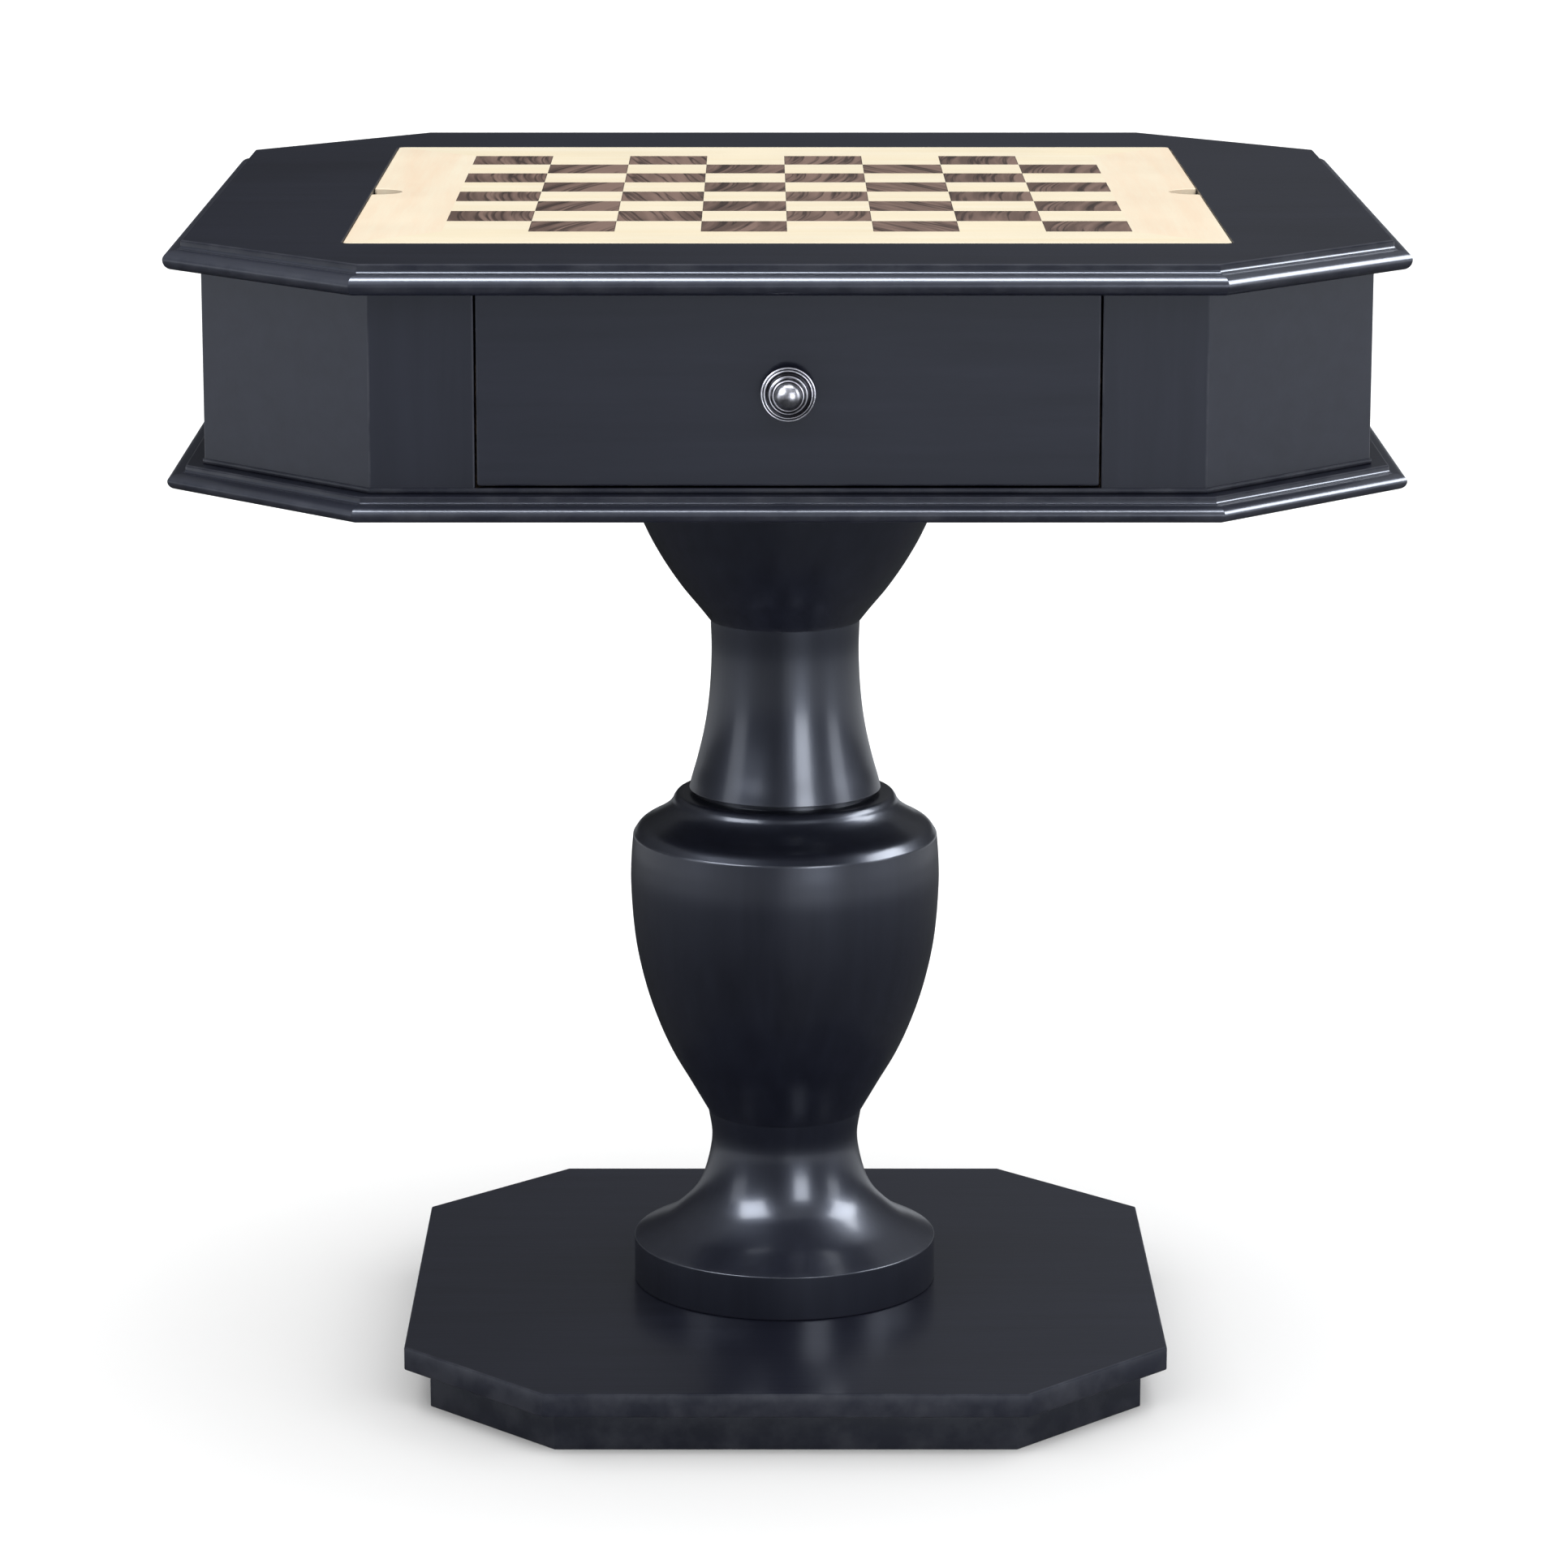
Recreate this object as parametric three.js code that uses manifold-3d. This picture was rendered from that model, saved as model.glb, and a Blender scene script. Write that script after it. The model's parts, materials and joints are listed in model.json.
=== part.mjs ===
// An eight-sided gaming table on a turned pedestal. A square game board is let into the top and
// lifts out of it over a shallow well. Two drawers run back to back under the well.
// Millimetres, +Z up. The origin is on the floor under the middle of the table, and the front
// drawer faces -Y.
import * as THREE from 'three';
import { mergeVertices } from 'three/addons/utils/BufferGeometryUtils.js';
import Module from 'manifold-3d';

const wasm = await Module();
wasm.setup();

// ---- driving dimensions ----

const tableHeight = 787.4;
const touchGap = 0.3;
const eighthTurn = Math.PI / 4;
const mitreLean = Math.tan(eighthTurn / 2);

// Each octagon is given by half its width and by the leg cut off its corners.
const topOctagon = { half: 371.7, cut: 116.1 };
const bodyOctagon = { half: 360.1, cut: 109.6 };
const stripOctagon = { half: 361.3, cut: 110.3 };
const basePlateOctagon = { half: 251.25, cut: 94.8 };
const plinthOctagon = { half: 234.6, cut: 84.9 };

// Heights of the layers.
const topThick = 18;
const bodyTop = tableHeight - topThick;
const bodyFoot = 651.2;
const stripThick = 3.3;
const bottomPanelTop = bodyFoot - stripThick;
const bottomPanelThick = 14.7;
const bottomPanelFoot = bottomPanelTop - bottomPanelThick;
const plinthThick = 27.4;
const basePlateThick = 16;
const basePlateTop = plinthThick + basePlateThick;
const edgeRound = 1.2;
const edgeRoundSteps = 3;

// The nosing round both panels: a small cove, a quirk and a quarter-ellipse nose.
const topNosingDrop = 3.6;
const bottomNosingDrop = 3;
const nosing = {
  reach: 11, cove: 1.8, quirk: 0.5, noseRise: 5.9, noseRun: 9, underRise: 6.2, underRun: 6.2,
};
const nosingSteps = 4;

// The carcass between the two panels.
const panelThick = 18;
const stripWidth = 16;
const openingHalf = 187.5;

// The game board, its opening and the well under it.
const boardHalf = 271.1;
const boardThick = 12;
const boardClearance = 0.9;
const boardCorner = 4.5;
const notchHalf = 18;
const notchDepth = 19;
const lipOpeningHalf = 259;
const wellWallThick = 12;
const wellFloorThick = 9;
const wellFloorTop = 735;

// The drawers.
const drawerGap = 1.2;
const drawerBoxHalf = 186;
const drawerBoxLength = 281;
const drawerBoxFoot = 656;
const drawerBoxTop = 722;
const drawerWall = 12;
const drawerBottomThick = 6;
const drawerBottomFoot = 661;
const grooveDepth = 5;
const drawerBackDrop = 6;
const guideThick = 12;
const guideLedge = 12;
const knobHeight = 709.5;

// Knob, its screw and the rod through the pedestal.
const screw = { shank: 2, hole: 2.3, head: 4.5, headThick: 2.5, bite: 7 };
const rod = { radius: 5, bore: 6, foot: 13, head: 9, headThick: 7 };
const rodNut = { radius: 9, thick: 9 };
const nutWell = 20;
const turnedFacets = 32;
const turnedSteps = 1;
const knobFacets = 20;
const knobSteps = 2;
const boltFacets = 12;
const hexFacets = 6;

// Turned pieces of the pedestal, bottom to top.
const mountingPlate = { half: 125, thick: 12 };
const footTop = 163;
const footRim = { radius: 102.5, height: 73.5 };
const urnTop = 383.5;
const neckTop = 502;
const bowlTop = bottomPanelFoot - mountingPlate.thick;
const bowlRadius = 103.9;

// ---- finishes ----

function lacquer() {
  return new THREE.MeshStandardMaterial({ color: 0x2c2d36, roughness: 0.32, metalness: 0 });
}

function maple() {
  return new THREE.MeshStandardMaterial({ color: 0xe9d2ae, roughness: 0.4, metalness: 0 });
}

function bareWood() {
  return new THREE.MeshStandardMaterial({ color: 0xc9a77a, roughness: 0.6, metalness: 0 });
}

function pewter() {
  return new THREE.MeshStandardMaterial({ color: 0x6f6d72, roughness: 0.35, metalness: 1 });
}

function steel() {
  return new THREE.MeshStandardMaterial({ color: 0x9a9c9f, roughness: 0.4, metalness: 1 });
}

// ---- shared shapes ----

const table = new THREE.Group();

function addPiece(name, geometry, material, parent = table) {
  const piece = new THREE.Mesh(geometry, material);
  piece.name = name;
  parent.add(piece);
  return piece;
}

function toSolid(geometry) {
  const bare = geometry.clone();
  bare.deleteAttribute('normal');
  bare.deleteAttribute('uv');
  const merged = mergeVertices(bare);
  const vertProperties = new Float32Array(merged.attributes.position.array);
  const triVerts = new Uint32Array(merged.index.array);
  return new wasm.Manifold(new wasm.Mesh({ numProp: 3, vertProperties, triVerts }));
}

function toGeometry(solid) {
  const mesh = solid.getMesh();
  const geometry = new THREE.BufferGeometry();
  geometry.setAttribute('position', new THREE.BufferAttribute(new Float32Array(mesh.vertProperties), 3));
  geometry.setIndex(new THREE.BufferAttribute(new Uint32Array(mesh.triVerts), 1));
  geometry.computeVertexNormals();
  return geometry;
}

// A box between two corners.
function block(low, high) {
  const size = high.map((value, axis) => value - low[axis]);
  const geometry = new THREE.BoxGeometry(...size);
  geometry.translate(...high.map((value, axis) => (value + low[axis]) / 2));
  return geometry;
}

// An outline with its corners cut off at 45 degrees.
function octagonOutline({ half, cut }, Outline = THREE.Shape) {
  const flat = half - cut;
  const outline = new Outline();
  outline.moveTo(half, -flat);
  outline.lineTo(half, flat);
  outline.lineTo(flat, half);
  outline.lineTo(-flat, half);
  outline.lineTo(-half, flat);
  outline.lineTo(-half, -flat);
  outline.lineTo(-flat, -half);
  outline.lineTo(flat, -half);
  outline.closePath();
  return outline;
}

function roundHole(radius) {
  const hole = new THREE.Path();
  hole.absarc(0, 0, radius, 0, 2 * Math.PI);
  return hole;
}

// A flat board from an outline, with its upper and lower edges rounded off.
function board(outline, foot, thick, round = 0) {
  const geometry = new THREE.ExtrudeGeometry(outline, {
    depth: thick - 2 * round,
    bevelEnabled: round > 0,
    bevelThickness: round,
    bevelSize: round,
    bevelOffset: -round,
    bevelSegments: edgeRoundSteps,
    curveSegments: boltFacets,
  });
  geometry.translate(0, 0, foot + round);
  return geometry;
}

function points(...pairs) {
  return pairs.map(([radius, height]) => new THREE.Vector2(radius, height));
}

// A turned piece: the closed outline has the radius first and the height second.
function turned(outline) {
  const geometry = new THREE.LatheGeometry(outline.getPoints(turnedSteps), turnedFacets);
  geometry.rotateX(Math.PI / 2);
  return geometry;
}

// The octagon that lies a distance outside another one, with the same mitre lines.
function grown({ half, cut }, distance) {
  return { half: half + distance, cut: cut + (2 - Math.SQRT2) * distance };
}

// Where each of the eight sides stands, counted from +X towards +Y.
const sideNames = ['right', 'back_right', 'back', 'back_left', 'left', 'front_left', 'front', 'front_right'];

function sideOf({ half, cut }, turn) {
  const slanted = turn % 2 === 1;
  return {
    distance: slanted ? (2 * half - cut) / Math.SQRT2 : half,
    halfLength: slanted ? cut / Math.SQRT2 : half - cut,
  };
}

// A stick along one side of an octagon. Its section has x outwards and y up. An end with a lean
// is mitred: it reaches further along the side the further out it is.
function stick(section, start, end) {
  const geometry = new THREE.ExtrudeGeometry(section, {
    depth: 1, bevelEnabled: false, curveSegments: nosingSteps,
  });
  const place = geometry.attributes.position;
  for (let index = 0; index < place.count; index += 1) {
    const finish = place.getZ(index) < 0.5 ? start : end;
    place.setZ(index, finish.at + finish.lean * place.getX(index));
  }
  geometry.rotateX(Math.PI / 2);
  return geometry;
}

// Puts a piece made for the +X side on another side of the octagon.
function addOnSide(name, geometry, material, octagon, turn) {
  const side = new THREE.Group();
  side.rotation.z = turn * eighthTurn;
  table.add(side);
  const piece = addPiece(name, geometry, material, side);
  piece.position.x = sideOf(octagon, turn).distance;
}

function mitredBothEnds(section, octagon, turn) {
  const reach = sideOf(octagon, turn).halfLength - touchGap / 2;
  return stick(section, { at: -reach, lean: -mitreLean }, { at: reach, lean: mitreLean });
}

function rectangle(left, foot, right, top) {
  const outline = new THREE.Shape();
  outline.moveTo(left, foot);
  outline.lineTo(right, foot);
  outline.lineTo(right, top);
  outline.lineTo(left, top);
  outline.closePath();
  return outline;
}

// ---- table top and lower panel ----

function nosingSection(top, foot) {
  const full = nosing.cove + nosing.quirk + nosing.noseRise + nosing.underRise;
  const squeeze = (top - foot) / full;
  const seat = touchGap;
  const quirkRun = nosing.reach - nosing.noseRun;
  const noseLevel = foot + nosing.underRise * squeeze;
  const noseTop = noseLevel + nosing.noseRise * squeeze;
  const quarter = Math.PI / 2;
  const section = new THREE.Shape();
  section.moveTo(seat, foot);
  section.lineTo(nosing.reach - nosing.underRun, foot);
  section.absellipse(nosing.reach - nosing.underRun, noseLevel,
    nosing.underRun, nosing.underRise * squeeze, -quarter, 0);
  section.absellipse(quirkRun, noseLevel, nosing.noseRun, nosing.noseRise * squeeze, 0, quarter);
  section.lineTo(quirkRun, noseTop + nosing.quirk * squeeze);
  section.absellipse(quirkRun, top, quirkRun - seat, nosing.cove * squeeze, -quarter, -2 * quarter, true);
  section.closePath();
  return section;
}

function addNosing(prefix, octagon, top, foot) {
  const section = nosingSection(top, foot);
  sideNames.forEach((sideName, turn) => {
    addOnSide(`${prefix}_${sideName}`, mitredBothEnds(section, octagon, turn), lacquer(), octagon, turn);
  });
}

function addTopFrame() {
  const slab = toSolid(board(octagonOutline(topOctagon), bodyTop, topThick, edgeRound));
  const opening = boardHalf + boardClearance;
  const seatLevel = tableHeight - boardThick;
  const rebate = block([-opening, -opening, seatLevel], [opening, opening, tableHeight + topThick]);
  const through = block([-lipOpeningHalf, -lipOpeningHalf, bodyTop - topThick],
    [lipOpeningHalf, lipOpeningHalf, tableHeight]);
  const frame = slab.subtract(toSolid(rebate)).subtract(toSolid(through));
  addPiece('top_frame', toGeometry(frame), lacquer());
  addNosing('top_nosing', topOctagon, tableHeight - topNosingDrop, bodyTop);
}

function addBottomPanel() {
  const outline = octagonOutline(topOctagon);
  outline.holes.push(roundHole(rod.bore));
  addPiece('bottom_panel', board(outline, bottomPanelFoot, bottomPanelThick, edgeRound), lacquer());
  addNosing('bottom_nosing', topOctagon, bottomPanelTop - bottomNosingDrop, bottomPanelFoot);
}

// ---- carcass ----

function addShadowStrip() {
  const outline = octagonOutline(stripOctagon);
  outline.holes.push(octagonOutline(grown(stripOctagon, -stripWidth), THREE.Path));
  addPiece('shadow_strip', board(outline, bottomPanelTop, stripThick), lacquer());
}

// Side and corner panels are mitred at both ends. The drawer faces sit between pairs of stiles
// that are mitred at the corner and square at the opening.
function addCarcass() {
  const section = rectangle(-panelThick, bodyFoot, 0, bodyTop);
  sideNames.forEach((sideName, turn) => {
    const drawerSide = sideName === 'front' || sideName === 'back';
    if (!drawerSide) {
      const kind = turn % 2 === 1 ? 'corner_panel' : 'side_panel';
      const geometry = mitredBothEnds(section, bodyOctagon, turn);
      addOnSide(`${kind}_${sideName}`, geometry, lacquer(), bodyOctagon, turn);
      return;
    }
    const reach = sideOf(bodyOctagon, turn).halfLength - touchGap / 2;
    const square = { at: openingHalf, lean: 0 };
    const far = stick(section, square, { at: reach, lean: mitreLean });
    const near = stick(section, { at: -reach, lean: -mitreLean }, { at: -openingHalf, lean: 0 });
    const [farHand, nearHand] = sideName === 'front' ? ['left', 'right'] : ['right', 'left'];
    addOnSide(`stile_${sideName}_${farHand}`, far, lacquer(), bodyOctagon, turn);
    addOnSide(`stile_${sideName}_${nearHand}`, near, lacquer(), bodyOctagon, turn);
  });
}

// A guide is a board on edge with a ledge along its foot. The drawer sides run on the ledge and
// the floor of the well rests on the board.
function addGuides() {
  const inner = drawerBoxHalf + drawerGap;
  const foot = bottomPanelTop;
  const ledgeTop = drawerBoxFoot - touchGap;
  const top = wellFloorTop - wellFloorThick;
  const halfLength = bodyOctagon.half - panelThick - touchGap;
  [['left', -1], ['right', 1]].forEach(([hand, sign]) => {
    const section = new THREE.Shape();
    section.moveTo(sign * (inner - guideLedge), foot);
    section.lineTo(sign * (inner + guideThick), foot);
    section.lineTo(sign * (inner + guideThick), top);
    section.lineTo(sign * inner, top);
    section.lineTo(sign * inner, ledgeTop);
    section.lineTo(sign * (inner - guideLedge), ledgeTop);
    section.closePath();
    const geometry = new THREE.ExtrudeGeometry(section, { depth: 2 * halfLength, bevelEnabled: false });
    geometry.rotateX(Math.PI / 2);
    geometry.translate(0, halfLength, 0);
    addPiece(`drawer_guide_${hand}`, geometry, bareWood());
  });
}

function addWell() {
  const inner = lipOpeningHalf;
  const outer = lipOpeningHalf + wellWallThick;
  const floorFoot = wellFloorTop - wellFloorThick;
  addPiece('well_floor', block([-outer, -outer, floorFoot], [outer, outer, wellFloorTop]), maple());
  [['front', -1], ['back', 1]].forEach(([end, sign]) => {
    const near = Math.min(sign * inner, sign * outer);
    const wall = block([-outer, near, wellFloorTop], [outer, near + wellWallThick, bodyTop]);
    addPiece(`well_wall_${end}`, wall, lacquer());
  });
  [['left', -1], ['right', 1]].forEach(([hand, sign]) => {
    const near = Math.min(sign * inner, sign * outer);
    const wall = block([near, -inner, wellFloorTop], [near + wellWallThick, inner, bodyTop]);
    addPiece(`well_wall_${hand}`, wall, lacquer());
  });
}

// ---- game board ----

// A square board with rounded corners and a half-round finger notch in two opposite edges.
function addGameBoard() {
  const straight = boardHalf - boardCorner;
  const quarter = Math.PI / 2;
  const outline = new THREE.Shape();
  outline.moveTo(boardHalf, notchHalf);
  outline.absarc(straight, straight, boardCorner, 0, quarter);
  outline.absarc(-straight, straight, boardCorner, quarter, 2 * quarter);
  outline.lineTo(-boardHalf, notchHalf);
  outline.absellipse(-boardHalf, 0, notchDepth, notchHalf, quarter, -quarter, true);
  outline.absarc(-straight, -straight, boardCorner, 2 * quarter, 3 * quarter);
  outline.absarc(straight, -straight, boardCorner, 3 * quarter, 4 * quarter);
  outline.lineTo(boardHalf, -notchHalf);
  outline.absellipse(boardHalf, 0, notchDepth, notchHalf, -quarter, -3 * quarter, true);
  outline.closePath();
  addPiece('game_board', board(outline, tableHeight - boardThick, boardThick), maple());
}

// ---- drawers ----

// A stepped knob: a foot and a stem, a wide rim, two smaller rings and a dome, with a blind hole
// for the screw. Radius first, then the distance from the drawer face.
function knobOutline() {
  const holeEnd = screw.bite + touchGap;
  const dome = { radius: 8.3, foot: 19, rise: 6.2 };
  const steps = points([0, holeEnd], [screw.hole, holeEnd], [screw.hole, touchGap], [8, touchGap], [8, 2],
    [5.5, 3.2], [5.5, 8.2], [9.5, 10.2], [16, 11.2], [16.5, 12.4], [15.6, 13.8], [13.4, 13.8],
    [12.4, 16.4], [10.4, 16.6], [9.4, dome.foot], [dome.radius, dome.foot]);
  const outline = new THREE.Path(steps);
  outline.absellipse(0, dome.foot, dome.radius, dome.rise, 0, Math.PI / 2);
  return outline;
}

function screwOutline(faceInside, faceOutside) {
  const outline = new THREE.Path();
  outline.moveTo(0, faceInside - screw.headThick);
  outline.lineTo(screw.head, faceInside - screw.headThick);
  outline.lineTo(screw.head, faceInside);
  outline.lineTo(screw.shank, faceInside);
  outline.lineTo(screw.shank, faceOutside + screw.bite);
  outline.lineTo(0, faceOutside + screw.bite);
  return outline;
}

// A drawer that faces -Y: face, two grooved sides, back, bottom, knob and knob screw.
function drawer(end) {
  const group = new THREE.Group();
  const faceHalf = openingHalf - drawerGap;
  const faceInside = bodyOctagon.half - panelThick;
  const boxBack = faceInside - drawerBoxLength;
  const add = (part, geometry, material) => addPiece(`${end}_drawer_${part}`, geometry, material, group);

  const faceOutline = rectangle(-faceHalf, bodyFoot + drawerGap - knobHeight,
    faceHalf, bodyTop - drawerGap - knobHeight);
  faceOutline.holes.push(roundHole(screw.hole));
  const face = board(faceOutline, 0, panelThick);
  face.rotateX(Math.PI / 2);
  face.translate(0, -faceInside, knobHeight);
  add('face', face, lacquer());

  const inner = drawerBoxHalf - drawerWall;
  const grooveTop = drawerBottomFoot + drawerBottomThick;
  [['left', -1], ['right', 1]].forEach(([hand, sign]) => {
    const section = new THREE.Shape();
    section.moveTo(sign * inner, drawerBoxFoot);
    section.lineTo(sign * drawerBoxHalf, drawerBoxFoot);
    section.lineTo(sign * drawerBoxHalf, drawerBoxTop);
    section.lineTo(sign * inner, drawerBoxTop);
    section.lineTo(sign * inner, grooveTop);
    section.lineTo(sign * (inner + grooveDepth), grooveTop);
    section.lineTo(sign * (inner + grooveDepth), drawerBottomFoot);
    section.lineTo(sign * inner, drawerBottomFoot);
    section.closePath();
    const side = new THREE.ExtrudeGeometry(section, {
      depth: drawerBoxLength - touchGap, bevelEnabled: false,
    });
    side.rotateX(Math.PI / 2);
    side.translate(0, -boxBack, 0);
    add(`${hand}_side`, side, bareWood());
  });

  const backTop = drawerBoxTop - drawerBackDrop;
  add('back', block([touchGap - inner, -boxBack - drawerWall, grooveTop],
    [inner - touchGap, -boxBack, backTop]), bareWood());
  const bottomHalf = inner + grooveDepth - touchGap;
  add('bottom', block([-bottomHalf, touchGap - faceInside, drawerBottomFoot + touchGap],
    [bottomHalf, -boxBack, grooveTop - touchGap]), bareWood());

  const knob = new THREE.LatheGeometry(knobOutline().getPoints(knobSteps), knobFacets);
  knob.rotateX(Math.PI);
  knob.translate(0, -bodyOctagon.half, knobHeight);
  add('knob', knob, pewter());
  const knobScrew = new THREE.LatheGeometry(
    screwOutline(faceInside - touchGap, bodyOctagon.half).getPoints(), boltFacets);
  knobScrew.rotateX(Math.PI);
  knobScrew.translate(0, 0, knobHeight);
  add('knob_screw', knobScrew, steel());
  return group;
}

function addDrawers() {
  table.add(drawer('front'));
  const back = drawer('back');
  back.rotation.z = Math.PI;
  table.add(back);
}

// ---- pedestal ----

function closeRound(outline, top) {
  outline.lineTo(rod.bore, top);
  outline.closePath();
  return outline;
}

// The cup under the lower panel: a straight band that rounds in to a narrow foot.
function bowlOutline() {
  const outline = new THREE.Path();
  outline.moveTo(rod.bore, neckTop);
  outline.lineTo(50.6, neckTop);
  outline.splineThru(points([57.2, 510.4], [68, 523.6], [77.4, 536.9], [85.5, 550.1], [92.4, 563.3],
    [100.8, 584], [bowlRadius, 604]));
  outline.lineTo(bowlRadius, bowlTop);
  return closeRound(outline, bowlTop);
}

// The waist: a long cove that swells to a thin rim over an undercut.
function neckOutline() {
  const outline = new THREE.Path();
  const undercut = 60.5;
  const rimFoot = 386.5;
  outline.moveTo(rod.bore, urnTop);
  outline.lineTo(undercut, urnTop);
  outline.lineTo(undercut, rimFoot);
  outline.lineTo(64.5, rimFoot);
  outline.splineThru(points([62.7, 393.4], [58.8, 407.1], [54.1, 427.5], [50.9, 450], [49.3, 480],
    [49.9, neckTop]));
  return closeRound(outline, neckTop);
}

// The vase: a long belly, then an ogee shoulder with a sharp lower edge.
function urnOutline() {
  const outline = new THREE.Path();
  const shoulderEdge = [101.5, 355];
  outline.moveTo(rod.bore, footTop);
  outline.lineTo(52.3, footTop);
  outline.splineThru(points([64.4, 184.1], [75.8, 203.8], [84.7, 223.3], [93.7, 249.4], [100.8, 282],
    [103.9, 321], shoulderEdge));
  outline.splineThru(points([97.8, 361.3], [87.5, 367.4], [79, 374], [73.6, 380.3], [67, urnTop]));
  return closeRound(outline, urnTop);
}

// The foot: a short neck that flares out over a plain round disc.
function footOutline() {
  const outline = new THREE.Path();
  outline.moveTo(rod.bore, basePlateTop);
  outline.lineTo(footRim.radius, basePlateTop);
  outline.lineTo(footRim.radius, footRim.height);
  outline.splineThru(points([91, 79.3], [80.5, 85.5], [69.5, 94.8], [62, 103], [56.3, 113],
    [51.4, 129.3], [49.4, 145], [52, footTop]));
  return closeRound(outline, footTop);
}

function addPedestal() {
  const plate = rectangle(-mountingPlate.half, -mountingPlate.half, mountingPlate.half, mountingPlate.half);
  plate.holes.push(roundHole(rod.bore));
  addPiece('mounting_plate', board(plate, bowlTop, mountingPlate.thick), lacquer());
  addPiece('bowl', turned(bowlOutline()), lacquer());
  addPiece('neck', turned(neckOutline()), lacquer());
  addPiece('urn', turned(urnOutline()), lacquer());
  addPiece('foot', turned(footOutline()), lacquer());
}

function addBase() {
  const plate = octagonOutline(basePlateOctagon);
  plate.holes.push(roundHole(rod.bore));
  addPiece('base_plate', board(plate, plinthThick, basePlateThick, edgeRound), lacquer());
  const plinth = octagonOutline(plinthOctagon);
  plinth.holes.push(roundHole(nutWell));
  addPiece('plinth', board(plinth, 0, plinthThick), lacquer());
}

// A rod with a six-sided head ties the lower panel, the pedestal and the base together.
function addTieRod() {
  const shaftTop = bottomPanelTop + rod.headThick / 2;
  const shaft = new THREE.CylinderGeometry(rod.radius, rod.radius, shaftTop - rod.foot, boltFacets);
  shaft.rotateX(Math.PI / 2);
  shaft.translate(0, 0, (shaftTop + rod.foot) / 2);
  const head = new THREE.CylinderGeometry(rod.head, rod.head, rod.headThick, hexFacets);
  head.rotateX(Math.PI / 2);
  head.translate(0, 0, bottomPanelTop + rod.headThick / 2);
  addPiece('tie_rod', toGeometry(toSolid(shaft).add(toSolid(head))), steel());

  const nutOutline = new THREE.Shape();
  for (let corner = 0; corner < hexFacets; corner += 1) {
    const angle = corner * 2 * Math.PI / hexFacets;
    const method = corner === 0 ? 'moveTo' : 'lineTo';
    nutOutline[method](rodNut.radius * Math.cos(angle), rodNut.radius * Math.sin(angle));
  }
  nutOutline.closePath();
  nutOutline.holes.push(roundHole(rod.radius + touchGap));
  addPiece('rod_nut', board(nutOutline, plinthThick - rodNut.thick, rodNut.thick), steel());
}

addTopFrame();
addBottomPanel();
addShadowStrip();
addCarcass();
addGuides();
addWell();
addGameBoard();
addDrawers();
addPedestal();
addBase();
addTieRod();

export default table;
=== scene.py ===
import json
import math
import bpy
import bmesh
import numpy as np
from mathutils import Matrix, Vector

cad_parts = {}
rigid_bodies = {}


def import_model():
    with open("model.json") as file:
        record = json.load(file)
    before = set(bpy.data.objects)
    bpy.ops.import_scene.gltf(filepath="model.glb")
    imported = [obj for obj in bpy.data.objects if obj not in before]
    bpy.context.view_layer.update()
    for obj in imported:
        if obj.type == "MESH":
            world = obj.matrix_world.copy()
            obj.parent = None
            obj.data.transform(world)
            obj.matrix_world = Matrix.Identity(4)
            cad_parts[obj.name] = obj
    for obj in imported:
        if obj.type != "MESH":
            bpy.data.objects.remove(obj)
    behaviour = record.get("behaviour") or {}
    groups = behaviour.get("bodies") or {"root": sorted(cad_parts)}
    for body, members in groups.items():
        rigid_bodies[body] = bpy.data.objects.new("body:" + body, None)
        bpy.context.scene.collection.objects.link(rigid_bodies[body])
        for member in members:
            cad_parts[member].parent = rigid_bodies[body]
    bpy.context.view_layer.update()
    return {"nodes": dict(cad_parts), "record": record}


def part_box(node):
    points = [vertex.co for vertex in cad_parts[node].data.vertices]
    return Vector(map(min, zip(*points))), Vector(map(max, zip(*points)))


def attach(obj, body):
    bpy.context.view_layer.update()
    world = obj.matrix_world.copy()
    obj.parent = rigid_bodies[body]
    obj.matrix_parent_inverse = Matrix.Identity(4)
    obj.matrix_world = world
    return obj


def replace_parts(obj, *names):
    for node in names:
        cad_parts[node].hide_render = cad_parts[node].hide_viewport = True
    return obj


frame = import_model()
scene = bpy.context.scene
mm = 0.001
upright = ((1, 0, 0), (0, 1, 0), (0, 0, 1))
edgeHold = 0.5                # width of the flat kept beside a rounded edge
print("frame loaded:", len(frame["nodes"]), "nodes")


def boxOf(node):
    # lowest and highest corner of a CAD node in millimetres
    low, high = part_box(node)
    return np.array(low) / mm, np.array(high) / mm


def addMesh(name, points, faces, body, finish, wornAndSheen=None, creaseAngle=35.0):
    # points is an n by 3 array in millimetres, faces are index lists that point outwards;
    # the edge mask is 1 on a rounded edge and 0 on a flat, and the finishes read it: the lacquer lays a
    # lighter colour there, edge wear and a painted highlight, and the metal shows rims rubbed clear of
    # tarnish
    mesh = bpy.data.meshes.new(name)
    mesh.from_pydata((points * mm).tolist(), [], faces)
    mesh.validate()
    mesh.shade_smooth()
    mesh.set_sharp_from_angle(angle=math.radians(creaseAngle))
    mesh.materials.append(finish)
    if wornAndSheen is not None:
        layer = mesh.attributes.new("arris", "FLOAT", "POINT")
        layer.data.foreach_set("value", np.asarray(wornAndSheen, dtype=np.float32))
    piece = bpy.data.objects.new(name, mesh)
    scene.collection.objects.link(piece)
    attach(piece, body)
    return piece


def ringFaces(rings, around, closed=False):
    # quads from ring i to ring i + 1, each ring a closed loop of as many points
    i = np.arange(rings if closed else rings - 1)[:, None]
    j = np.arange(around)[None, :]
    nextI, nextJ = (i + 1) % rings, (j + 1) % around
    quads = np.stack([i * around + j, i * around + nextJ, nextI * around + nextJ, nextI * around + j], -1)
    return quads.reshape(-1, 4).tolist()


def endCaps(rings, around):
    # one flat face over the first ring and one over the last, turned to face away from the rest
    last = (rings - 1) * around
    return [list(range(around))[::-1], list(range(last, last + around))]


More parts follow.
